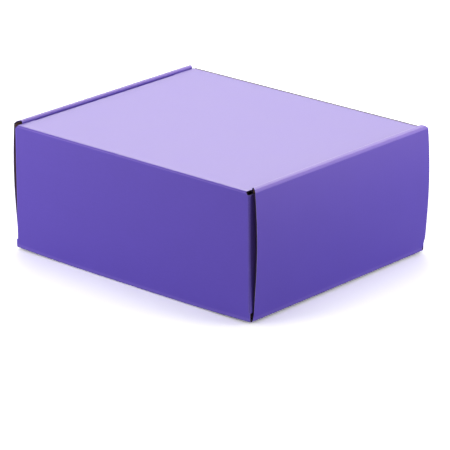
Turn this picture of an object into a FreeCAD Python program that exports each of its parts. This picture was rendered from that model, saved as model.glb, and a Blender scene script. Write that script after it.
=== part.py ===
import FreeCAD, Part
import math
import os

# Corrugated mailer box, folded from one die-cut sheet of thin fluted board.
# Millimetres. X runs along the rear wall, the front is at -Y, the lid's hinge crease is at +Y,
# and the origin is the middle of the underside of the base.
# tray: base, rear and front walls with their corner flaps, and the two roll-over side walls.
# lid: the top panel with its front tuck flap and its two side dust flaps.

# Board
board = 1.6  # thickness of the fluted board
crease_radius = 2.0  # outer radius of an ordinary crease
hair = 0.25  # gap between two layers of board that lie side by side

# Overall sizes, measured over the outside of the creases
base_length = 310.0  # along X, at the base
base_depth = 259.0  # along Y, at the base
lid_height = 130.0  # top face of the closed lid
ridge_rise = 2.8  # how far the side ridges stand above the lid
base_lift = 2.0  # the base bows: its two sides stand this far above its flat middle
knee_place = 96.0  # the base starts to rise this far from its middle
bend_share = 0.85  # share of the shorter run beside a gentle bend that its arc takes up

# Roll-over side walls
ridge_width = 7.8  # across the two layers and the flap trapped between them
ridge_lean = 2.4  # the ridge stands this far outside the base crease
fold_drop = 3.5  # the ridge slopes outward: its outer fold is this far below its top
shoulder_in = 2.6  # between the two, the board folds again this far in from the outer face
shoulder_drop = 1.6  # and this far below the top
crest_drop = 0.26  # its last fold, above the inner panel, before the corner is rounded
ridge_fold_radius = 1.8  # outer radius of the two outer folds
ridge_inner_radius = 2.4  # and of the last one
side_bow = 2.8  # how far the outer panel bulges beyond its own chord
bow_level = 82.0  # height of the fullest part of the bulge
rear_end = 4.0  # setback of the outer panel's rear raw end
rear_foot = 2.5  # and at its foot, where the corner is relieved
rear_foot_height = 12.0  # height where the rear end reaches its full setback
front_end = 0.3  # setback of the outer panel's front raw end
front_foot = 4.2  # and at its foot
front_foot_height = 16.0
front_foot_radius = 20.0  # rounds the corner between the foot and the straight end
inner_rear_end = 8.0  # setback of the inner panel's rear end, which the ridge slants back to
inner_front_end = 5.0

# Tabs of the inner side panels, locked in slots in the base
tab_length = 34.0
tab_spacing = 118.0  # between the middles of the two tabs of one panel
tab_taper = 2.5
slot_end_play = 0.8

# Corner flaps of the rear and front walls, trapped inside the side walls
corner_radius = 2.4  # outer radius of the vertical crease
corner_inset_base = 1.1  # the crease starts this far in from the base's end
flap_length = 84.0
flap_start = 11.0  # height where the corner flap begins
flap_top_drop = 3.0  # its top edge lies this far below the lid's top face
flap_bottom_rise = 12.0  # the outer end of the flap is cut back by these two
flap_top_fall = 9.0
front_wall_drop = 0.8  # raw top edge of the front wall, below the lid's top face

# Lid
lid_side_play = 0.6  # between the lid and each ridge
tuck_play = 0.5  # between the tuck flap's crease and the front wall
tuck_length = 62.0
tuck_lean = 8.6  # degrees that the flap leans into the box, so that it swings clear
tuck_side_play = 1.2
tuck_side_taper = 6.0
tuck_corner_radius = 14.0
dust_length = 46.0
dust_rear_setback = 24.0
dust_front_setback = 34.0
dust_taper = 14.0
dust_corner_radius = 10.0
hinge_gap = 0.2  # between the two halves of the hinge crease
hinge_stand_off = 0.2  # the turning axis lies this far outside the crease

# Derived places
half_length = base_length / 2
half_depth = base_depth / 2
middle = board / 2
ridge_height = lid_height + ridge_rise
ridge_face = half_length + ridge_lean
inner_face = ridge_face - ridge_width  # inside face of the inner side panel
trap_face = inner_face + board  # face of the inner panel that meets the corner flap
corner_inset_top = half_length - trap_face - hair - board
flap_top = lid_height - flap_top_drop
lid_half = inner_face - lid_side_play
lid_front = -(half_depth - board - tuck_play)
foot_level = base_lift + crease_radius  # where the outer panel leaves its base crease
past_crease = 4 * crease_radius  # a run that ends well past a crease, to be trimmed
far = base_length + base_depth + lid_height


def vector(x, y, z):
    return FreeCAD.Vector(x, y, z)


def in_xz(u, v):
    return vector(u, 0, v)


def in_yz(u, v):
    return vector(0, u, v)


def in_xy(height):
    def place(u, v):
        return vector(u, v, height)

    return place


def heading(start, end):
    run = math.hypot(end[0] - start[0], end[1] - start[1])
    return (end[0] - start[0]) / run, (end[1] - start[1]) / run


def turn_between(before, corner, after):
    way_in = heading(before, corner)
    way_out = heading(corner, after)
    cross = way_in[0] * way_out[1] - way_in[1] * way_out[0]
    dot = way_in[0] * way_out[0] + way_in[1] * way_out[1]
    return math.atan2(cross, dot)


def shifted(point, direction, along, left):
    """The point moved along a direction and to the left of it."""
    return (
        point[0] + direction[0] * along - direction[1] * left,
        point[1] + direction[1] * along + direction[0] * left,
    )


def sheet_side(points, bends, left):
    """One face of a bent sheet: straight runs and tangent arcs, as (kind, points) in a plane."""
    pieces = []
    current = shifted(points[0], heading(points[0], points[1]), 0, left)
    for number in range(1, len(points) - 1):
        way_in = heading(points[number - 1], points[number])
        way_out = heading(points[number], points[number + 1])
        turn = turn_between(points[number - 1], points[number], points[number + 1])
        side = math.copysign(1, turn)
        radius = bends[number - 1]
        reach = radius * math.tan(abs(turn) / 2)
        start = shifted(points[number], way_in, -reach, left)
        end = shifted(points[number], way_out, reach, left)
        centre = shifted(points[number], way_in, -reach, side * radius)
        bisector = heading(centre, points[number])
        small = radius - side * left
        crest = (centre[0] + bisector[0] * small, centre[1] + bisector[1] * small)
        pieces.append(("line", (current, start)))
        pieces.append(("arc", (start, crest, end)))
        current = end
    last = shifted(points[-1], heading(points[-2], points[-1]), 0, left)
    pieces.append(("line", (current, last)))
    return pieces


def drawn(pieces, place):
    """Edges for the lines and arcs of one side of a sheet."""
    edges = []
    for kind, marks in pieces:
        spots = [place(u, v) for u, v in marks]
        if kind == "line":
            edges.append(Part.LineSegment(*spots).toShape())
        else:
            edges.append(Part.Arc(*spots).toShape())
    return edges


def sheet_face(points, bends, place):
    """Closed section of a bent sheet of board whose middle line runs through the points."""
    inside = sheet_side(points, bends, middle)
    outside = sheet_side(points, bends, -middle)
    edges = drawn(inside, place) + drawn(outside, place)
    for end in (0, -1):
        near = place(*inside[end][1][end])
        beyond = place(*outside[end][1][end])
        edges.append(Part.LineSegment(near, beyond).toShape())
    return Part.Face(Part.Wire(Part.__sortEdges__(edges)))


def along_y(face, low, high):
    face.translate(vector(0, low, 0))
    return face.extrude(vector(0, high - low, 0))


def along_x(face, low, high):
    face.translate(vector(low, 0, 0))
    return face.extrude(vector(high - low, 0, 0))


def polygon(points, place):
    spots = [place(u, v) for u, v in points]
    return Part.Face(Part.makePolygon(spots + [spots[0]]))


def block(low, high):
    size = [high[axis] - low[axis] for axis in range(3)]
    return Part.makeBox(size[0], size[1], size[2], vector(*low))


def mirrored_x(shape):
    return shape.mirror(vector(0, 0, 0), vector(1, 0, 0))


def mirrored_y(shape):
    return shape.mirror(vector(0, 0, 0), vector(0, 1, 0))


def one_solid(shape):
    shape = shape.removeSplitter()
    return shape.Solids[0]


def gentle_reach(before, corner, after):
    """How far from its corner a gentle bend starts and ends."""
    return bend_share * min(math.dist(before, corner), math.dist(corner, after))


def gentle_bend(before, corner, after):
    """Radius of a gentle bend at a corner between two long runs."""
    turn = abs(turn_between(before, corner, after))
    return gentle_reach(before, corner, after) / math.tan(turn / 2)


def base_path():
    """Middle line of the base: flat to a knee, then gently up to the foot of the side wall."""
    foot = (half_length - middle, base_lift + middle)
    knee = (knee_place, middle)
    return [(0, middle), knee, foot]


def side_wall_path():
    """Middle line from the middle of the base, up the bowed outer panel, over and down inside."""
    start, knee, foot = base_path()
    fold = (ridge_face - middle, ridge_height - fold_drop)
    share = (bow_level - foot[1]) / (fold[1] - foot[1])
    peak_reach = side_bow / (1 - bend_share / 2)
    full = (foot[0] + share * (fold[0] - foot[0]) + peak_reach, bow_level)
    shoulder = (ridge_face - shoulder_in, ridge_height - shoulder_drop)
    turn_in = (inner_face + middle, ridge_height - crest_drop)
    end = (inner_face + middle, base_lift + board + hair)
    points = [start, knee, foot, full, fold, shoulder, turn_in, end]
    bends = [
        gentle_bend(start, knee, foot),
        crease_radius - middle,
        gentle_bend(foot, full, fold),
        ridge_fold_radius - middle,
        ridge_fold_radius - middle,
        ridge_inner_radius - middle,
    ]
    return points, bends


def base_and_sides():
    """The base and both roll-over walls are one profile, drawn through along Y."""
    points, bends = side_wall_path()
    left_points = [(-u, v) for u, v in reversed(points[1:])]
    left_bends = list(reversed(bends))
    face = sheet_face(left_points + points[1:], left_bends + bends, in_xz)
    sheet = along_y(face, -half_depth, half_depth)
    cutters = [base_end_cutter(), mirrored_y(base_end_cutter())]
    cutters += [rear_end_cutter(), front_end_cutter()]
    inner_ends = [ridge_end_cutter(rear_end, inner_rear_end)]
    inner_ends.append(mirrored_y(ridge_end_cutter(front_end, inner_front_end)))
    for cutter in inner_ends:
        cutters += [cutter, mirrored_x(cutter)]
    return sheet.cut(cutters)


def base_end_cutter():
    """The base itself ends where the rear wall's crease begins."""
    edge = half_depth - crease_radius
    return block((-far, edge, -far), (far, far, foot_level))


def rear_end_cutter():
    """What the die cuts away at the rear ends of the two outer panels."""
    top = ridge_height + board
    outline = [
        (half_depth - rear_foot, foot_level),
        (half_depth - rear_end, rear_foot_height),
        (half_depth - rear_end, top),
        (half_depth + board, top),
        (half_depth + board, foot_level),
    ]
    return along_x(polygon(outline, in_yz), -far, far)


def front_end_cutter():
    """And at their front ends, which are rounded at the foot."""
    top = ridge_height + board
    outline = [
        (-half_depth + front_foot, foot_level),
        (-half_depth + front_end, front_foot_height),
        (-half_depth + front_end, top),
        (-half_depth - board, top),
        (-half_depth - board, foot_level),
    ]
    return along_x(rounded(outline, [0, front_foot_radius, 0, 0, 0], in_yz), -far, far)


def ridge_end_cutter(outer_end, inner_end):
    """At the rear, on the +X side: the ridge slants back to the end of the shorter inner panel."""
    inner_line = half_depth - inner_end
    slant = [
        (ridge_face, half_depth - outer_end),
        (trap_face, inner_line),
        (inner_face - board, inner_line),
        (inner_face - board, half_depth + board),
        (ridge_face, half_depth + board),
    ]
    ridge_foot = ridge_height - fold_drop
    ridge_part = polygon(slant, in_xy(ridge_foot)).extrude(vector(0, 0, far))
    inner_part = block(
        (inner_face - board, inner_line, foot_level),
        (trap_face + hair, half_depth + board, ridge_foot),
    )
    return ridge_part.fuse(inner_part)


def corner_inset(height):
    """How far the vertical crease stands in from the base's end, at a height."""
    share = height / lid_height
    return corner_inset_base + share * (corner_inset_top - corner_inset_base)


def wall_edge(height):
    """Half the width of a rear or front wall, up to where its vertical crease begins to turn."""
    return half_length - corner_inset(height) - corner_radius


def wall_outline(top):
    """Half outline of a rear or front wall, in X and Z."""
    foot = half_length - corner_inset_base
    return [
        (foot, -board),
        (foot, flap_start),
        (wall_edge(flap_start), flap_start),
        (wall_edge(flap_top), flap_top),
        (lid_half, top),
        (lid_half, top + 2 * board),
    ]


def under_crease():
    """Everything below the line where a wall's base crease ends, on the +X side."""
    start, knee, foot = base_path()
    bend = gentle_bend(start, knee, foot)
    beyond = shifted(foot, heading(knee, foot), past_crease, 0)
    line = sheet_side([start, knee, beyond], [bend], crease_radius - middle)
    edges = drawn(line, in_xz)
    first = line[0][1][0]
    last = line[-1][1][-1]
    spots = [in_xz(*first), in_xz(first[0], -far), in_xz(last[0], -far), in_xz(*last)]
    for near, next_spot in zip(spots, spots[1:]):
        edges.append(Part.LineSegment(near, next_spot).toShape())
    return along_y(Part.Face(Part.Wire(Part.__sortEdges__(edges))), -far, far)


def crease_section():
    """Quarter ring of the rear base crease, in Y and Z, where the base is flat."""
    centre_y = half_depth - crease_radius
    inner = crease_radius - board
    slant = math.sqrt(0.5)
    spots = []
    for radius in (crease_radius, inner):
        spots.append(in_yz(centre_y, crease_radius - radius))
        spots.append(in_yz(centre_y + radius * slant, crease_radius - radius * slant))
        spots.append(in_yz(centre_y + radius, crease_radius))
    edges = [
        Part.Arc(spots[0], spots[1], spots[2]).toShape(),
        Part.LineSegment(spots[2], spots[5]).toShape(),
        Part.Arc(spots[5], spots[4], spots[3]).toShape(),
        Part.LineSegment(spots[3], spots[0]).toShape(),
    ]
    return Part.Face(Part.Wire(edges))


def base_crease():
    """The rear base crease: straight along the flat middle, then round the base's gentle bends."""
    start, knee, foot = base_path()
    reach = gentle_reach(start, knee, foot)
    radius = gentle_bend(start, knee, foot)
    turn = turn_between(start, knee, foot)
    flat_end = knee[0] - reach
    section = crease_section()
    section.translate(vector(flat_end, 0, 0))
    flat = section.extrude(vector(-flat_end, 0, 0))
    axis_point = vector(flat_end, 0, middle + radius)
    bend = section.revolve(axis_point, vector(0, -1, 0), math.degrees(turn))
    section.rotate(axis_point, vector(0, -1, 0), math.degrees(turn))
    rise = section.extrude(vector(half_length * math.cos(turn), 0, half_length * math.sin(turn)))
    foot_end = half_length - corner_inset_base
    keep = block((0, -far, -far), (foot_end, far, far))
    half = flat.fuse([bend, rise]).common(keep)
    return half.fuse(mirrored_x(half))


def upright_wall(profile, top):
    """A rear or front wall: its profile drawn along X, trimmed to the die-cut outline."""
    half = wall_outline(top)
    outline = half + [(-u, v) for u, v in reversed(half)]
    keep = along_y(polygon(outline, in_xz), -far, far)
    wall = along_x(profile, -half_length, half_length).common(keep)
    return wall.cut([under_crease(), mirrored_x(under_crease())])


def rear_wall():
    """From the base crease up to the middle of the hinge crease."""
    path = [
        (half_depth - middle, 0),
        (half_depth - middle, lid_height - middle),
        (half_depth - past_crease, lid_height - middle),
    ]
    profile = sheet_face(path, [crease_radius - middle], in_yz).cut(hinge_side(1))
    return upright_wall(profile, lid_height).fuse(base_crease())


def hinge_side(sign):
    """Section that is cut away on one side of the hinge crease's split: 1 is the lid's side."""
    centre = (half_depth - crease_radius, lid_height - crease_radius)
    outward = (math.sqrt(0.5), math.sqrt(0.5))
    start = shifted(centre, outward, -past_crease, -sign * hinge_gap / 2)
    end = shifted(centre, outward, past_crease, -sign * hinge_gap / 2)
    beyond_end = shifted(end, outward, 0, sign * 2 * past_crease)
    beyond_start = shifted(start, outward, 0, sign * 2 * past_crease)
    return polygon([start, end, beyond_end, beyond_start], in_yz)


def front_wall():
    """From the base up to the raw edge in front of the lid."""
    top = lid_height - front_wall_drop
    path = [(-(half_depth - middle), top), (-(half_depth - middle), 0)]
    profile = sheet_face(path, [], in_yz)
    return upright_wall(profile, top).fuse(mirrored_y(base_crease()))


def corner_section(height):
    """Plan of the vertical crease and corner flap at one height, at the rear, on the +X side."""
    flap_line = half_length - corner_inset(height) - middle
    wall_line = half_depth - middle
    path = [
        (flap_line, half_depth - flap_length),
        (flap_line, wall_line),
        (wall_edge(height) - board, wall_line),
    ]
    return sheet_face(path, [corner_radius - middle], in_xy(height)).OuterWire


def corner_flap():
    """The rear corner flap on the +X side, leaning with the slanted crease."""
    sweep = Part.makeLoft([corner_section(flap_start), corner_section(flap_top)], True, True)
    outer_end = half_depth - flap_length
    crease_end = half_depth - corner_radius
    outline = [
        (half_depth + board, flap_start - board),
        (crease_end, flap_start - board),
        (outer_end, flap_start + flap_bottom_rise),
        (outer_end, flap_top - flap_top_fall),
        (crease_end, flap_top + board),
        (half_depth + board, flap_top + board),
    ]
    return sweep.common(along_x(polygon(outline, in_yz), -far, far))


def tab_middles():
    return (-tab_spacing / 2, tab_spacing / 2)


def panel_tab(centre):
    """A tab of the +X inner panel, from inside its slot up into the panel."""
    half = tab_length / 2
    root = base_lift + board + hair
    outline = [
        (centre - half + tab_taper, base_lift),
        (centre + half - tab_taper, base_lift),
        (centre + half, root),
        (centre + half, root + board),
        (centre - half, root + board),
        (centre - half, root),
    ]
    return along_x(polygon(outline, in_yz), inner_face, trap_face)


def base_slot(centre):
    half = tab_length / 2 + slot_end_play
    return block(
        (inner_face - hair, centre - half, -board),
        (trap_face + hair, centre + half, base_lift + board + hair / 2),
    )


def tray():
    sheet = base_and_sides()
    flap = corner_flap()
    flaps = [flap, mirrored_x(flap), mirrored_y(flap), mirrored_x(mirrored_y(flap))]
    sheet = sheet.fuse([rear_wall(), front_wall()] + flaps)
    slots = []
    tabs = []
    for centre in tab_middles():
        slots += [base_slot(centre), mirrored_x(base_slot(centre))]
        tabs += [panel_tab(centre), mirrored_x(panel_tab(centre))]
    sheet = sheet.cut(slots).fuse(tabs)
    return one_solid(sheet)


def rounded(points, radii, place):
    """Closed outline with straight sides and rounded corners."""
    edges = []
    count = len(points)
    ends = []
    for number in range(count):
        way_in = heading(points[number - 1], points[number])
        way_out = heading(points[number], points[(number + 1) % count])
        turn = turn_between(points[number - 1], points[number], points[(number + 1) % count])
        radius = radii[number]
        reach = radius * math.tan(abs(turn) / 2)
        start = shifted(points[number], way_in, -reach, 0)
        end = shifted(points[number], way_out, reach, 0)
        centre = shifted(points[number], way_in, -reach, math.copysign(radius, turn))
        ends.append((start, end))
        if radius > 0:
            bisector = heading(centre, points[number])
            crest = shifted(centre, bisector, radius, 0)
            edges.append(Part.Arc(place(*start), place(*crest), place(*end)).toShape())
    for number in range(count):
        start = place(*ends[number][1])
        end = place(*ends[(number + 1) % count][0])
        edges.append(Part.LineSegment(start, end).toShape())
    return Part.Face(Part.Wire(Part.__sortEdges__(edges)))


def lid_panel():
    """Top panel from the hinge crease to the front crease, with the tuck flap below it."""
    lean = math.radians(tuck_lean)
    crease = (lid_front + middle, lid_height - middle)
    tuck_end = (crease[0] + tuck_length * math.sin(lean), crease[1] - tuck_length * math.cos(lean))
    path = [
        (half_depth - middle, lid_height - past_crease),
        (half_depth - middle, lid_height - middle),
        crease,
        tuck_end,
    ]
    bend = crease_radius - middle
    profile = sheet_face(path, [bend, bend], in_yz).cut(hinge_side(-1))
    return along_x(profile, -lid_half, lid_half).common(lid_outline())


def lid_outline():
    """Front view of the lid: the full panel, and below it the tapered tuck flap."""
    top = lid_height + board
    shoulder = lid_height - crease_radius
    end = lid_height - tuck_length * math.cos(math.radians(tuck_lean)) - board
    flap_half = lid_half - tuck_side_play
    tip_half = flap_half - tuck_side_taper
    points = [
        (lid_half + board, top),
        (-lid_half - board, top),
        (-lid_half - board, shoulder),
        (-flap_half, shoulder),
        (-tip_half, end + board / 2),
        (tip_half, end + board / 2),
        (flap_half, shoulder),
        (lid_half + board, shoulder),
    ]
    radii = [0, 0, 0, 0, tuck_corner_radius, tuck_corner_radius, 0, 0]
    return along_y(rounded(points, radii, in_xz), -far, far)


def dust_flap_profile():
    """Section across the lid: both dust flaps, their creases and the panel between them."""
    drop = lid_height - dust_length
    edge = lid_half - middle
    path = [
        (edge, drop),
        (edge, lid_height - middle),
        (-edge, lid_height - middle),
        (-edge, drop),
    ]
    bend = crease_radius - middle
    return sheet_face(path, [bend, bend], in_xz)


def dust_flap_outline():
    """Side view of a dust flap, with the panel's strip that carries it."""
    rear = half_depth - dust_rear_setback
    front = -(half_depth - dust_front_setback)
    top = lid_height + board
    neck = lid_height - crease_radius
    drop = lid_height - dust_length
    points = [
        (rear, top),
        (front, top),
        (front, neck),
        (front + dust_taper, drop),
        (rear - dust_taper, drop),
        (rear, neck),
    ]
    radii = [0, 0, 0, dust_corner_radius, dust_corner_radius, 0]
    return along_x(rounded(points, radii, in_yz), -far, far)


def lid():
    panel = lid_panel()
    rear = half_depth - dust_rear_setback
    front = -(half_depth - dust_front_setback)
    for sign in (-1, 1):
        near = sign * (lid_half - crease_radius)
        beyond = sign * (lid_half + board)
        strip = block(
            (min(near, beyond), front, lid_height - crease_radius),
            (max(near, beyond), rear, lid_height + board),
        )
        panel = panel.cut(strip)
    flaps = along_y(dust_flap_profile(), front, rear).common(dust_flap_outline())
    return one_solid(panel.fuse(flaps))


def main():
    os.makedirs("parts", exist_ok=True)
    for name, shape in (("tray", tray()), ("lid", lid())):
        shape.exportStep("parts/" + name + ".step")
        box = shape.BoundBox
        print(name, shape.isValid(), len(shape.Faces), round(shape.Volume), box)
    slant = math.sqrt(0.5)
    pull_in = crease_radius - (crease_radius + hinge_stand_off) * slant
    print("hinge axis y, z:", half_depth - pull_in, lid_height - pull_in)


main()
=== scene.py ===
import math

import bpy
from mathutils import Matrix, Vector
from mathutils.bvhtree import BVHTree


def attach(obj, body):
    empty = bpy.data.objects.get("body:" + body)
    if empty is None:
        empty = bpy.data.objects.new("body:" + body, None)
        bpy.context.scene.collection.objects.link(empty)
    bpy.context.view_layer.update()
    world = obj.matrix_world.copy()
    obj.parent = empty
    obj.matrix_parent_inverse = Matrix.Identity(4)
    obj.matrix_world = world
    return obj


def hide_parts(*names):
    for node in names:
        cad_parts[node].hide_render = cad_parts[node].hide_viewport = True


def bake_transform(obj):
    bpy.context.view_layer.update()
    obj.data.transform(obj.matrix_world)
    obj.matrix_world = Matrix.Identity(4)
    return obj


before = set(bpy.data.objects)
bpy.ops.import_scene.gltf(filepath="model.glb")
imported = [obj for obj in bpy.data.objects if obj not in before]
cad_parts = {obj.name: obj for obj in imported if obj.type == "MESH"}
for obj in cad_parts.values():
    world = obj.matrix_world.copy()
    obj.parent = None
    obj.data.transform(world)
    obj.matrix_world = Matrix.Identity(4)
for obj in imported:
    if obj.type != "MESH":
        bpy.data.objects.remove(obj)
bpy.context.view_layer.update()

# Corrugated mailer box, folded from one sheet of fluted board, printed purple on its outside

# The box's own sizes, in metres, as in the part's source
BOARD = 0.0016
CREASE_RADIUS = 0.002
HALF_LENGTH = 0.155
HALF_DEPTH = 0.1295
LID_HEIGHT = 0.130
RIDGE_TOP = 0.1328
RIDGE_LEAN = 0.0024
RIDGE_WIDTH = 0.0078
FLAP_LENGTH = 0.084
FLAP_PLACE = 0.0011  # middle of a trapped corner flap, from the inner panel
BASE_LIFT = 0.002
KNEE_PLACE = 0.096
HINGE_HALF_LENGTH = 0.149

# Places that follow from them
INNER_FACE = HALF_LENGTH + RIDGE_LEAN - RIDGE_WIDTH
TRAP_FACE = INNER_FACE + BOARD
TRAP_MIDDLE = TRAP_FACE + FLAP_PLACE
INSIDE = Vector((0.0, 0.0, LID_HEIGHT / 2))

# Telling the sheet's sides apart: places in metres, and how far a face has to look one way
FACE_SLACK = 0.0004
SIDE_WALL_FOOT = 0.0045  # just above the side walls' base crease
END_WALL_DEPTH = 0.0018  # the front or rear wall, with a little slack
FLAP_CLEAR = 0.00005  # a corner flap's face is further than this from the inner panel
RIDGE_DEPTH = 0.0095  # the ridge's folds lie above this, measured from its top
OUTER_PANEL_INSET = BOARD / 2  # further out than this there is only the outer panel
FLAP_END_SLACK = 0.001
FLAP_TOP_DROP = 0.002  # corner flaps end lower than this below the lid's top face
HINGE_DEPTH = 0.0022  # the split lies within this of the crease's two outer faces
HINGE_SLANT = 0.6
RAW_END_SLANT = 0.25
FLAP_FACING = 0.5

# Measuring the board behind a face: where the ray starts and ends, and what counts as one board
RAY_START = 0.00002
RAY_REACH = 0.02
NOTHING_BEHIND = 1.0
BOARD_LEAST = BOARD * 0.6
BOARD_MOST = BOARD * 1.35

# Creases
CREASE_WIDTH = 0.003
CREASE_TURN = math.radians(3.0)
CREASE_TURN_MOST = math.radians(60.0)
SAME_PLACE = 1e-6

# Strip of outer paper over the hinge crease, in metres, and in degrees from the rear upwards
STRIP_CLEAR = 0.00001
STRIP_THICKNESS = 0.00004
STRIP_MIDDLE = 45.0
STRIP_REACH = 12.0
STRIP_STEPS = 24
STRIP_CORNERS = 4  # of its cross-section

# The kinds of face, which are also the numbers of their materials
PRINTED = 0
PLAIN = 1
RAW = 2
HINGE = 3

# Colours, linear
WHITE = (1.0, 1.0, 1.0, 1.0)
PRINT_PURPLE = (0.094, 0.062, 0.418, 1.0)
# Paler print: worn ink on creases, and the colour of the painted highlights on creases, above the foot and
# on the printed rim of a cut
PRINT_WORN_AND_HIGHLIT = (0.34, 0.26, 0.66, 1.0)
PRINT_GLOSS_TINT = (1.0, 0.62, 0.80, 1.0)
KRAFT = (0.40, 0.26, 0.15, 1.0)
KRAFT_DARK = (0.25, 0.15, 0.085, 1.0)
# Paper of a cut edge: its own colour darkened with painted shade
CUT_PAPER_SHADED = (0.052, 0.036, 0.056, 1.0)
# Hollows of the flutes in a cut edge: painted shade, since the board is solid
HOLLOW_SHADE = (0.010, 0.004, 0.024, 1.0)

# Patterns: fineness along X, Y and Z, and what each gives at the two ends of the noise
NOISE_SPAN = (0.3, 0.7)
PRINT_FIBRES = (240.0, 900.0, 900.0)
PRINT_MOTTLE = (0.985, 1.015)
PRINT_GRAIN = (-0.02, 0.02)
PRINT_ROUGHNESS = (0.445, 0.455)
KRAFT_FIBRES = (260.0, 1100.0, 1100.0)
KRAFT_STRANDS = (90.0, 900.0, 700.0)
KRAFT_CLOUD = (0.92, 1.08)
KRAFT_GRAIN = (-0.10, 0.10)
KRAFT_FLUTE = 0.035
KRAFT_STRAND_SPAN = (0.60, 0.72)
KRAFT_STRAND = (0.0, 0.14)
KRAFT_SPECK_SPAN = (0.64, 0.72)
KRAFT_SPECK = (0.0, 0.7)
KRAFT_ROUGHNESS = (0.80, 0.92)
CUT_FIBRES = (900.0, 900.0, 900.0)
CUT_GRAIN = (0.70, 1.25)
CUT_FIBRE_RELIEF = 0.4
HINGE_GRAIN = (0.70, 1.0)

# Paler print: on the creases by specks and in patches, worn ink with a painted highlight; in a band above
# the foot, a painted highlight
CREASE_PALING_SPECK_SPAN = (0.35, 0.62)
CREASE_PALING_SPECK = (0.06, 0.22)
CREASE_PALING_PATCH_SPAN = (0.35, 0.60)
CREASE_PALING_PATCH = (0.6, 1.0)
# Painted highlight above the foot: how much paler, and the heights where it starts and ends
FOOT_HIGHLIGHT = 0.14
FOOT_HIGHLIGHT_LOW = (0.0012, 0.0022)
FOOT_HIGHLIGHT_TOP = (0.0035, 0.0050)

# The fluted core, as shares of the board's thickness from 0 at the plain side to 1 at the printed one
FLUTE_PITCH = 0.0033
BOARD_MIDDLE = 0.5
LINER_SHARE = 0.14
FLUTE_EDGE = (LINER_SHARE * 0.5, LINER_SHARE)
FLUTE_REACH = BOARD_MIDDLE - LINER_SHARE * 1.3
LINER_EDGE = (BOARD_MIDDLE - LINER_SHARE * 1.2, BOARD_MIDDLE - LINER_SHARE)
# Printed rim of a cut: the liner's edge, painted paler as a highlight
CUT_RIM = (0.80, 0.88)
HINGE_RIM = (0.80, 0.90)

# Ramps that run from nothing to all, and the other way
RISE = (0.0, 1.0)
FALL = (1.0, 0.0)

# Sockets of a Mix node that mixes colours
MIX_FACTOR = 0
MIX_FIRST = 6
MIX_SECOND = 7
MIX_RESULT = 2

# Camera, fitted to the photograph's edges
CAMERA_AIM = Vector((0.0004, -0.0082, 0.0247))
CAMERA_DISTANCE = 3.025
CAMERA_AZIMUTH = 221.934
CAMERA_ELEVATION = 19.861
CAMERA_ROLL = 0.242
FRAME_PIXELS = 450
FOCAL_PIXELS = 3058.5
SENSOR = 36.0
NEAREST = 0.05
FARTHEST = 200.0

# Floor and world
FLOOR_REACH = 40.0
FLOOR_COLOUR = (0.32, 0.32, 0.32, 1.0)
FLOOR_GLOSSY = (0.60, 0.60, 0.60, 1.0)
FLOOR_SEEN = (1.55, 1.55, 1.49, 1.0)
WORLD_STRENGTH = 0.385
BACKDROP_WHITE = 1.0

# Lamps: directions in degrees, distances and sizes in metres, powers in watts
LAMP_AIM = Vector((0.0, 0.0, 0.08))
FAR = 3.0
NEAR = 0.95
GLOSS_AZIMUTH = 15.0
GLOSS_ELEVATION = 37.0
GLOSS_SIZE = (5.2, 1.7)
GLOSS_POWER = 175.0
TOP_AZIMUTH = 42.0
TOP_ELEVATION = 76.0
TOP_SIZE = (1.6, 1.6)
TOP_POWER = 23.0
FILL_ELEVATION = 8.0
FILL_SIZE = (1.6, 1.0)
FILL_AZIMUTH_AND_POWER = {
    "rear_fill": (150.0, 50.0),
    "side_fill": (300.0, 50.0),
    "front_fill": (45.0, 52.0),
}
PANEL_ELEVATION = 9.0
PANEL_SIZE = (0.7, 0.5)
PANEL_AZIMUTH_AND_POWER = {
    "left_panel": (138.0, 2.6),
    "right_panel": (312.0, 2.4),
}


# Small helpers for node materials


def new_material(name):
    material = bpy.data.materials.new(name)
    material.use_nodes = True
    tree = material.node_tree
    tree.nodes.clear()
    return material, tree


def add(tree, kind, **settings):
    """A new node, with its sockets or properties set by name."""
    node = tree.nodes.new(kind)
    for name, value in settings.items():
        if name in node.inputs:
            node.inputs[name].default_value = value
        else:
            setattr(node, name, value)
    return node


def noise(tree, place, scale, detail, roughness):
    node = add(tree, "ShaderNodeTexNoise", Scale=scale, Detail=detail, Roughness=roughness)
    tree.links.new(place, node.inputs["Vector"])
    return node.outputs["Fac"]


def fibres(tree, place, fineness, detail, roughness):
    """Noise with its own fineness along each axis."""
    node = add(tree, "ShaderNodeMapping", Scale=fineness)
    tree.links.new(place, node.inputs["Vector"])
    return noise(tree, node.outputs["Vector"], scale=1.0, detail=detail, roughness=roughness)


def ramp(tree, value, span, result):
    """A straight ramp from result[0] to result[1] over a span of the value, and level beyond it."""
    limits = {"From Min": span[0], "From Max": span[1], "To Min": result[0], "To Max": result[1]}
    node = add(tree, "ShaderNodeMapRange", **limits)
    tree.links.new(value, node.inputs["Value"])
    return node.outputs["Result"]


def math_node(tree, operation, first, second=None):
    node = add(tree, "ShaderNodeMath", operation=operation)
    for number, value in enumerate((first, second)):
        if value is None:
            continue
        if isinstance(value, (int, float)):
            node.inputs[number].default_value = value
        else:
            tree.links.new(value, node.inputs[number])
    return node.outputs[0]


def total(tree, first, *others):
    """The sum of two or more values."""
    for other in others:
        first = math_node(tree, "ADD", first, other)
    return first


def mix_colour(tree, factor, first, second, blend="MIX"):
    node = add(tree, "ShaderNodeMix", data_type="RGBA", blend_type=blend)
    for number, value in ((MIX_FACTOR, factor), (MIX_FIRST, first), (MIX_SECOND, second)):
        if isinstance(value, (float, tuple)):
            node.inputs[number].default_value = value
        else:
            tree.links.new(value, node.inputs[number])
    return node.outputs[MIX_RESULT]


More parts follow.
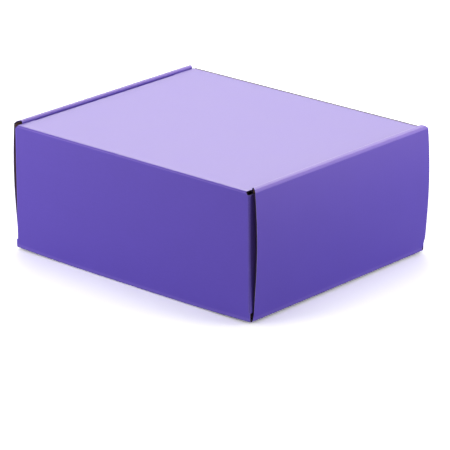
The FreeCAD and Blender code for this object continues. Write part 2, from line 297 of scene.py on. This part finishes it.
def bump(tree, height, strength, distance, under=None):
    node = add(tree, "ShaderNodeBump", Strength=strength, Distance=distance)
    tree.links.new(height, node.inputs["Height"])
    if under is not None:
        tree.links.new(under, node.inputs["Normal"])
    return node.outputs["Normal"]


def split(tree, vector):
    node = add(tree, "ShaderNodeSeparateXYZ")
    tree.links.new(vector, node.inputs[0])
    return node.outputs[0], node.outputs[1], node.outputs[2]


def object_place(tree):
    return add(tree, "ShaderNodeTexCoord").outputs["Object"]


def sheet_place(tree):
    """A point's place across the flutes, in metres, and through the board, from plain to printed side."""
    node = add(tree, "ShaderNodeAttribute", attribute_name="sheet")
    across, _, through = split(tree, node.outputs["Vector"])
    return across, through


def flute_wave(tree, across):
    """A wave of one flute pitch, from -1 to 1, across the flutes."""
    return math_node(tree, "SINE", math_node(tree, "MULTIPLY", across, 2 * math.pi / FLUTE_PITCH))


def shader_and_output(tree, **settings):
    shader = add(tree, "ShaderNodeBsdfPrincipled", **settings)
    out = add(tree, "ShaderNodeOutputMaterial")
    tree.links.new(shader.outputs[0], out.inputs[0])
    return shader


def ray_is(tree, *kinds):
    """1 where the ray is of one of these kinds, otherwise 0."""
    path = add(tree, "ShaderNodeLightPath")
    found = path.outputs[kinds[0]]
    for kind in kinds[1:]:
        found = math_node(tree, "MAXIMUM", found, path.outputs[kind])
    return found


def choose(tree, choice, otherwise, chosen):
    """One shader where the choice is 0, and another where it is 1."""
    node = add(tree, "ShaderNodeMixShader")
    for number, value in enumerate((choice, otherwise, chosen)):
        tree.links.new(value, node.inputs[number])
    return node.outputs[0]


# Materials of the box


def crease_wear_and_highlight(tree, blotch, speck):
    """How far the print is paler on a crease, in specks and patches: worn ink and a painted highlight."""
    crease = add(tree, "ShaderNodeAttribute", attribute_name="crease").outputs["Fac"]
    wear_and_highlight = math_node(tree, "MULTIPLY", crease, ramp(tree, speck, CREASE_PALING_SPECK_SPAN, CREASE_PALING_SPECK))
    return math_node(tree, "MULTIPLY", wear_and_highlight, ramp(tree, blotch, CREASE_PALING_PATCH_SPAN, CREASE_PALING_PATCH))


def foot_highlight(tree, place):
    """How far the print is paled by a painted highlight in a band above the foot, which follows the bowed
    base.
    """
    x, _, z = split(tree, place)
    lift = ramp(tree, math_node(tree, "ABSOLUTE", x), (KNEE_PLACE, HALF_LENGTH), (0.0, BASE_LIFT))
    height = math_node(tree, "SUBTRACT", z, lift)
    above_foot = ramp(tree, height, FOOT_HIGHLIGHT_LOW, (0.0, FOOT_HIGHLIGHT))
    below_wall = ramp(tree, height, FOOT_HIGHLIGHT_TOP, FALL)
    return math_node(tree, "MULTIPLY", above_foot, below_wall)


def printed_liner():
    """Purple print under matt varnish: faint mottle and fibre, flutes just felt, worn ink and a painted
    highlight on the creases, and a painted highlight above the foot.
    """
    material, tree = new_material("purple_print")
    shader = shader_and_output(tree, IOR=1.5)
    shader.inputs["Specular Tint"].default_value = PRINT_GLOSS_TINT
    place = object_place(tree)
    across, _ = sheet_place(tree)
    blotch = noise(tree, place, scale=30.0, detail=4.0, roughness=0.6)
    fibre = fibres(tree, place, PRINT_FIBRES, detail=4.0, roughness=0.6)
    speck = noise(tree, place, scale=1400.0, detail=2.0, roughness=0.7)
    fibre_grain = ramp(tree, fibre, NOISE_SPAN, PRINT_GRAIN)
    speck_grain = ramp(tree, speck, NOISE_SPAN, PRINT_GRAIN)
    tone = total(tree, ramp(tree, blotch, NOISE_SPAN, PRINT_MOTTLE), fibre_grain, speck_grain)
    colour = mix_colour(tree, 1.0, PRINT_PURPLE, tone, "MULTIPLY")
    # Paler print: worn ink and a painted highlight on the creases, and a painted highlight in a band above
    # the foot
    for wear_and_highlight in (crease_wear_and_highlight(tree, blotch, speck), foot_highlight(tree, place)):
        colour = mix_colour(tree, wear_and_highlight, colour, PRINT_WORN_AND_HIGHLIT)
    tree.links.new(colour, shader.inputs["Base Color"])
    rough = total(tree, ramp(tree, blotch, NOISE_SPAN, PRINT_ROUGHNESS), speck_grain)
    tree.links.new(rough, shader.inputs["Roughness"])
    flutes = bump(tree, flute_wave(tree, across), strength=0.10, distance=0.00004)
    relief = bump(tree, fibre, strength=0.12, distance=0.0002, under=flutes)
    tree.links.new(relief, shader.inputs["Normal"])
    return material


def kraft_liner():
    """Plain brown inside of the board: long fibres, dark specks and the flutes showing through."""
    material, tree = new_material("kraft_liner")
    shader = shader_and_output(tree, IOR=1.35)
    place = object_place(tree)
    across, _ = sheet_place(tree)
    flute = flute_wave(tree, across)
    cloud = noise(tree, place, scale=22.0, detail=4.0, roughness=0.6)
    fibre = fibres(tree, place, KRAFT_FIBRES, detail=5.0, roughness=0.65)
    strand = fibres(tree, place, KRAFT_STRANDS, detail=3.0, roughness=0.7)
    speck = noise(tree, place, scale=900.0, detail=2.0, roughness=0.6)
    tone = total(
        tree,
        ramp(tree, cloud, NOISE_SPAN, KRAFT_CLOUD),
        ramp(tree, fibre, NOISE_SPAN, KRAFT_GRAIN),
        math_node(tree, "MULTIPLY", flute, KRAFT_FLUTE),
        ramp(tree, strand, KRAFT_STRAND_SPAN, KRAFT_STRAND),
    )
    colour = mix_colour(tree, 1.0, KRAFT, tone, "MULTIPLY")
    colour = mix_colour(tree, ramp(tree, speck, KRAFT_SPECK_SPAN, KRAFT_SPECK), colour, KRAFT_DARK)
    tree.links.new(colour, shader.inputs["Base Color"])
    tree.links.new(ramp(tree, fibre, NOISE_SPAN, KRAFT_ROUGHNESS), shader.inputs["Roughness"])
    flutes = bump(tree, flute, strength=0.25, distance=0.00006)
    relief = bump(tree, fibre, strength=0.3, distance=0.0003, under=flutes)
    tree.links.new(relief, shader.inputs["Normal"])
    return material


def raw_edge():
    """Cut edge of the board: two liners, and between them the fluted paper, all darkened with painted
    shade, and its hollows, painted as shade; the printed rim is painted paler as a highlight.
    """
    material, tree = new_material("raw_edge")
    shader = shader_and_output(tree, IOR=1.3, Roughness=0.9)
    across, through = sheet_place(tree)
    middle = math_node(tree, "SUBTRACT", through, BOARD_MIDDLE)
    wave = math_node(tree, "MULTIPLY", flute_wave(tree, across), FLUTE_REACH)
    off_wave = math_node(tree, "ABSOLUTE", math_node(tree, "SUBTRACT", middle, wave))
    fluted = ramp(tree, off_wave, FLUTE_EDGE, FALL)
    liner = ramp(tree, math_node(tree, "ABSOLUTE", middle), LINER_EDGE, RISE)
    paper = math_node(tree, "MAXIMUM", fluted, liner)
    fibre = fibres(tree, object_place(tree), CUT_FIBRES, detail=3.0, roughness=0.6)
    # Cut paper darkened with painted shade, and the hollows between it painted as shade
    cut = mix_colour(tree, 1.0, CUT_PAPER_SHADED, ramp(tree, fibre, NOISE_SPAN, CUT_GRAIN), "MULTIPLY")
    colour = mix_colour(tree, paper, HOLLOW_SHADE, cut)
    # Printed rim of the cut: the liner's edge, painted paler as a highlight
    colour = mix_colour(tree, ramp(tree, through, CUT_RIM, RISE), colour, PRINT_WORN_AND_HIGHLIT)
    tree.links.new(colour, shader.inputs["Base Color"])
    height = total(tree, paper, math_node(tree, "MULTIPLY", fibre, CUT_FIBRE_RELIEF))
    tree.links.new(bump(tree, height, strength=0.6, distance=0.0003), shader.inputs["Normal"])
    return material


def hinge_split():
    """The two sides of the split along the hinge crease: print at the outside, plain paper further in."""
    material, tree = new_material("hinge_crease")
    shader = shader_and_output(tree, IOR=1.35, Roughness=0.85)
    _, through = sheet_place(tree)
    fibre = fibres(tree, object_place(tree), KRAFT_FIBRES, detail=5.0, roughness=0.65)
    paper = mix_colour(tree, 1.0, KRAFT, ramp(tree, fibre, NOISE_SPAN, HINGE_GRAIN), "MULTIPLY")
    colour = mix_colour(tree, ramp(tree, through, HINGE_RIM, RISE), paper, PRINT_PURPLE)
    tree.links.new(colour, shader.inputs["Base Color"])
    tree.links.new(bump(tree, fibre, strength=0.4, distance=0.0003), shader.inputs["Normal"])
    return material


# Which side of the sheet a face is on: printed outside, plain inside, or raw where the die cut it


def faces_outward(point, normal):
    """Whether a face looks away from the middle of the box, as all of the lid's printed faces do."""
    return normal.dot(point - INSIDE) > 0


def tray_is_printed(point, normal):
    """Whether a broad face of the tray is on the sheet's printed side."""
    across = abs(point.x)
    outward = normal.x * math.copysign(1.0, point.x)
    beside_walls = abs(point.y) < HALF_DEPTH - END_WALL_DEPTH
    if across > INNER_FACE - FACE_SLACK and point.z > SIDE_WALL_FOOT and beside_walls:
        if TRAP_FACE + FLAP_CLEAR < across < TRAP_MIDDLE and outward < -FLAP_FACING:
            return False
        above_walls = max(0.0, point.z - (RIDGE_TOP - RIDGE_DEPTH))
        return outward * (across - TRAP_MIDDLE) + normal.z * above_walls > 0
    return faces_outward(point, normal)


def in_hinge_split(face):
    """Whether a face is one side of the split along the hinge crease, which is no cut on the real box."""
    slanted = abs(face.normal.y) > HINGE_SLANT and abs(face.normal.z) > HINGE_SLANT
    at_rear = face.center.y > HALF_DEPTH - HINGE_DEPTH
    return slanted and at_rear and face.center.z > LID_HEIGHT - HINGE_DEPTH


def in_side_wall_end(face):
    """Whether a face is part of a side wall's cut end; its broad faces all run level from front to rear."""
    across = abs(face.center.x)
    beside_flaps = across > HALF_LENGTH - OUTER_PANEL_INSET
    above_flaps = across > INNER_FACE - FACE_SLACK and face.center.z > LID_HEIGHT
    return (beside_flaps or above_flaps) and abs(face.normal.y) > RAW_END_SLANT


def sheet_sides(mesh, is_printed):
    """For each face: printed side, plain side, raw edge or hinge split, told by the board behind it."""
    tree = BVHTree.FromPolygons([v.co for v in mesh.vertices], [p.vertices[:] for p in mesh.polygons])
    kinds = []
    for face in mesh.polygons:
        point = face.center
        normal = face.normal
        _, _, _, depth = tree.ray_cast(point - normal * RAY_START, -normal, RAY_REACH)
        if depth is None:
            depth = NOTHING_BEHIND
        if in_hinge_split(face):
            kinds.append(HINGE)
        elif depth > BOARD_MOST or depth < BOARD_LEAST or in_side_wall_end(face):
            kinds.append(RAW)
        elif is_printed(point, normal):
            kinds.append(PRINTED)
        else:
            kinds.append(PLAIN)
    return kinds


# Each corner's place in the sheet, and the creases


def spot(mesh, index):
    """A corner's place as a key, the same for all corners that meet there."""
    return tuple(round(value / SAME_PLACE) for value in mesh.vertices[index].co)


def kinds_at_spots(mesh, kinds):
    """Which sides of the sheet meet at each place."""
    met = {}
    for face, kind in zip(mesh.polygons, kinds):
        for index in face.vertices:
            met.setdefault(spot(mesh, index), {})[kind] = face.normal.copy()
    return met


def through_board(met_here):
    """0 at the plain side, 1 at the printed side."""
    if PRINTED in met_here and PLAIN in met_here:
        return BOARD_MIDDLE
    return 1.0 if PRINTED in met_here else 0.0


def in_corner_flap(point):
    """Whether a point lies in one of the four flaps that the side walls trap."""
    trapped = TRAP_FACE < abs(point.x) < HALF_LENGTH - OUTER_PANEL_INSET
    beside_corner = abs(point.y) > HALF_DEPTH - FLAP_LENGTH - FLAP_END_SLACK
    return trapped and beside_corner and point.z < LID_HEIGHT - FLAP_TOP_DROP


def across_flutes(point, facing):
    """A point's place across the flutes, in metres; facing is the way the board's broad side faces."""
    side_panel = abs(facing.x) > max(abs(facing.y), abs(facing.z))
    level_panel = abs(facing.z) > abs(facing.y)
    if side_panel:
        return point.z if in_corner_flap(point) else point.y
    return point.y if level_panel else point.z


def crease_faces(mesh, kinds):
    """The narrow faces that make up the creases: their neighbours are turned a little from them."""
    beside = {}
    for face in mesh.polygons:
        spots = [spot(mesh, index) for index in face.vertices]
        for first, second in zip(spots, spots[1:] + spots[:1]):
            beside.setdefault(frozenset((first, second)), []).append(face)
    creased = set()
    for faces in beside.values():
        if len(faces) != 2 or RAW in (kinds[faces[0].index], kinds[faces[1].index]):
            continue
        if not CREASE_TURN < faces[0].normal.angle(faces[1].normal) < CREASE_TURN_MOST:
            continue
        for face in faces:
            longest = max((mesh.vertices[a].co - mesh.vertices[b].co).length for a, b in face.edge_keys)
            width = 2 * face.area / longest
            if width < CREASE_WIDTH:
                creased.add(face.index)
    return creased


def mark_sheet(mesh, kinds):
    """Write on each corner its place in the sheet, and whether it is on a crease."""
    met = kinds_at_spots(mesh, kinds)
    creased = crease_faces(mesh, kinds)
    mesh.attributes.new("sheet", "FLOAT_VECTOR", "CORNER")
    mesh.attributes.new("crease", "FLOAT", "CORNER")
    sheet = mesh.attributes["sheet"]
    crease = mesh.attributes["crease"]
    flat_spots = set()
    for face, kind in zip(mesh.polygons, kinds):
        if kind != RAW and face.index not in creased:
            flat_spots.update(spot(mesh, index) for index in face.vertices)
    for face, kind in zip(mesh.polygons, kinds):
        for corner in face.loop_indices:
            index = mesh.loops[corner].vertex_index
            point = mesh.vertices[index].co
            here = spot(mesh, index)
            met_here = met[here]
            facing = met_here.get(PRINTED, met_here.get(PLAIN, face.normal)) if kind == RAW else face.normal
            sheet.data[corner].vector = (across_flutes(point, facing), point.x, through_board(met_here))
            crease.data[corner].value = 1.0 if face.index in creased and here not in flat_spots else 0.0


# The pieces of the box


def linked(name, data):
    """A new object in the scene."""
    thing = bpy.data.objects.new(name, data)
    bpy.context.scene.collection.objects.link(thing)
    return thing


def paint(mesh, materials, kinds):
    """Give each face the material of its kind."""
    mesh.materials.clear()
    for material in materials:
        mesh.materials.append(material)
    for face, kind in zip(mesh.polygons, kinds):
        face.material_index = kind


def dressed_copy(node, name, body, is_printed, materials):
    """The node's own mesh again, with a material on each side of the sheet."""
    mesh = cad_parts[node].data.copy()
    mesh.name = name
    piece = linked(name, mesh)
    kinds = sheet_sides(mesh, is_printed)
    paint(mesh, materials, kinds)
    mark_sheet(mesh, kinds)
    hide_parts(node)
    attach(piece, body)


def crease_point(x, degrees, radius):
    """A point round the hinge crease, with 0 degrees to the rear and 90 upwards."""
    turn = math.radians(degrees)
    y = HALF_DEPTH - CREASE_RADIUS + radius * math.cos(turn)
    z = LID_HEIGHT - CREASE_RADIUS + radius * math.sin(turn)
    return (x, y, z)


def hinge_strip(materials):
    """The outer paper where it runs unbroken over the hinge crease, from the rear wall to the lid."""
    inner = CREASE_RADIUS + STRIP_CLEAR
    outer = inner + STRIP_THICKNESS
    points = []
    for step in range(STRIP_STEPS + 1):
        degrees = STRIP_MIDDLE - STRIP_REACH + 2 * STRIP_REACH * step / STRIP_STEPS
        for radius in (inner, outer):
            for x in (-HINGE_HALF_LENGTH, HINGE_HALF_LENGTH):
                points.append(crease_point(x, degrees, radius))
    faces = [(0, 1, 3, 2)]
    kinds = [PRINTED]
    for step in range(STRIP_STEPS):
        a = STRIP_CORNERS * step
        b = a + STRIP_CORNERS
        outside = (a + 2, a + 3, b + 3, b + 2)
        inside = (a + 1, a, b, b + 1)
        left_edge = (a, a + 2, b + 2, b)
        right_edge = (a + 3, a + 1, b + 1, b + 3)
        faces += [outside, inside, left_edge, right_edge]
        kinds += [PRINTED, PLAIN, PRINTED, PRINTED]
    last = STRIP_CORNERS * STRIP_STEPS
    faces.append((last + 1, last, last + 2, last + 3))
    kinds.append(PRINTED)
    mesh = bpy.data.meshes.new("hinge_paper")
    mesh.from_pydata(points, [], faces)
    paint(mesh, materials, kinds)
    piece = linked("hinge_paper", mesh)
    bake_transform(piece)


# Floor, light and camera


def direction(azimuth, elevation):
    """Unit vector from the object towards a viewer at an azimuth and elevation in degrees."""
    a = math.radians(azimuth)
    e = math.radians(elevation)
    return Vector((math.sin(a) * math.cos(e), -math.cos(a) * math.cos(e), math.sin(e)))


def floor_material():
    """Pale ground: pure white in the open for the camera, with the object's own shadow on it."""
    material, tree = new_material("studio_floor")
    grounds = []
    for colour in (FLOOR_COLOUR, FLOOR_GLOSSY, FLOOR_SEEN):
        grounds.append(add(tree, "ShaderNodeBsdfDiffuse", Color=colour).outputs[0])
    mirrored = ray_is(tree, "Is Glossy Ray", "Is Transmission Ray")
    shown = choose(tree, mirrored, grounds[0], grounds[1])
    shown = choose(tree, ray_is(tree, "Is Camera Ray"), shown, grounds[2])
    out = add(tree, "ShaderNodeOutputMaterial")
    tree.links.new(shown, out.inputs[0])
    return material


def make_floor():
    corners = [(-1, -1), (1, -1), (1, 1), (-1, 1)]
    mesh = bpy.data.meshes.new("floor")
    mesh.from_pydata([(x * FLOOR_REACH, y * FLOOR_REACH, 0.0) for x, y in corners], [], [(0, 1, 2, 3)])
    floor = linked("floor", mesh)
    mesh.materials.append(floor_material())


def make_world():
    """Even light from all round, which the camera and reflections see as plain white."""
    world = bpy.data.worlds.new("studio")
    bpy.context.scene.world = world
    world.use_nodes = True
    tree = world.node_tree
    tree.nodes.clear()
    glow = add(tree, "ShaderNodeBackground", Color=WHITE, Strength=WORLD_STRENGTH).outputs[0]
    white = add(tree, "ShaderNodeBackground", Color=WHITE, Strength=BACKDROP_WHITE).outputs[0]
    seen = ray_is(tree, "Is Camera Ray", "Is Transmission Ray", "Is Glossy Ray")
    out = add(tree, "ShaderNodeOutputWorld")
    tree.links.new(choose(tree, seen, glow, white), out.inputs[0])


def make_panel(name, azimuth, elevation, distance, size, power, lights=True, shines=True):
    """A soft box light that faces the object. It lights it, shines in its gloss, or both."""
    data = bpy.data.lights.new(name, "AREA")
    data.shape = "RECTANGLE"
    data.size = size[0]
    data.size_y = size[1]
    data.energy = power
    lamp = linked(name, data)
    back = direction(azimuth, elevation)
    lamp.location = LAMP_AIM + back * distance
    lamp.rotation_mode = "QUATERNION"
    lamp.rotation_quaternion = back.to_track_quat("Z", "Y")
    lamp.visible_camera = False
    lamp.visible_diffuse = lights
    lamp.visible_glossy = shines


def make_lamps():
    """One that only shines in the lid's gloss, four that only light, and two near ones that do both."""
    make_panel("gloss_panel", GLOSS_AZIMUTH, GLOSS_ELEVATION, FAR, GLOSS_SIZE, GLOSS_POWER, lights=False)
    make_panel("top_panel", TOP_AZIMUTH, TOP_ELEVATION, FAR, TOP_SIZE, TOP_POWER, shines=False)
    for name, (azimuth, power) in FILL_AZIMUTH_AND_POWER.items():
        make_panel(name, azimuth, FILL_ELEVATION, FAR, FILL_SIZE, power, shines=False)
    for name, (azimuth, power) in PANEL_AZIMUTH_AND_POWER.items():
        make_panel(name, azimuth, PANEL_ELEVATION, NEAR, PANEL_SIZE, power)


def make_camera():
    data = bpy.data.cameras.new("camera")
    data.sensor_width = SENSOR
    data.lens = FOCAL_PIXELS / FRAME_PIXELS * SENSOR
    data.clip_start = NEAREST
    data.clip_end = FARTHEST
    camera = linked("camera", data)
    back = direction(CAMERA_AZIMUTH, CAMERA_ELEVATION)
    turn = back.to_track_quat("Z", "Y").to_matrix() @ Matrix.Rotation(-math.radians(CAMERA_ROLL), 3, "Z")
    camera.location = CAMERA_AIM + back * CAMERA_DISTANCE
    camera.rotation_mode = "QUATERNION"
    camera.rotation_quaternion = turn.to_quaternion()
    bpy.context.scene.camera = camera


# In the order of PRINTED, PLAIN, RAW and HINGE
board_materials = [printed_liner(), kraft_liner(), raw_edge(), hinge_split()]
dressed_copy("tray", "folded_tray", "tray", tray_is_printed, board_materials)
dressed_copy("lid", "folded_lid", "lid", faces_outward, board_materials)
hinge_strip(board_materials[:2])

make_floor()
make_world()
make_lamps()
make_camera()

scene = bpy.context.scene
scene.view_settings.view_transform = "Standard"
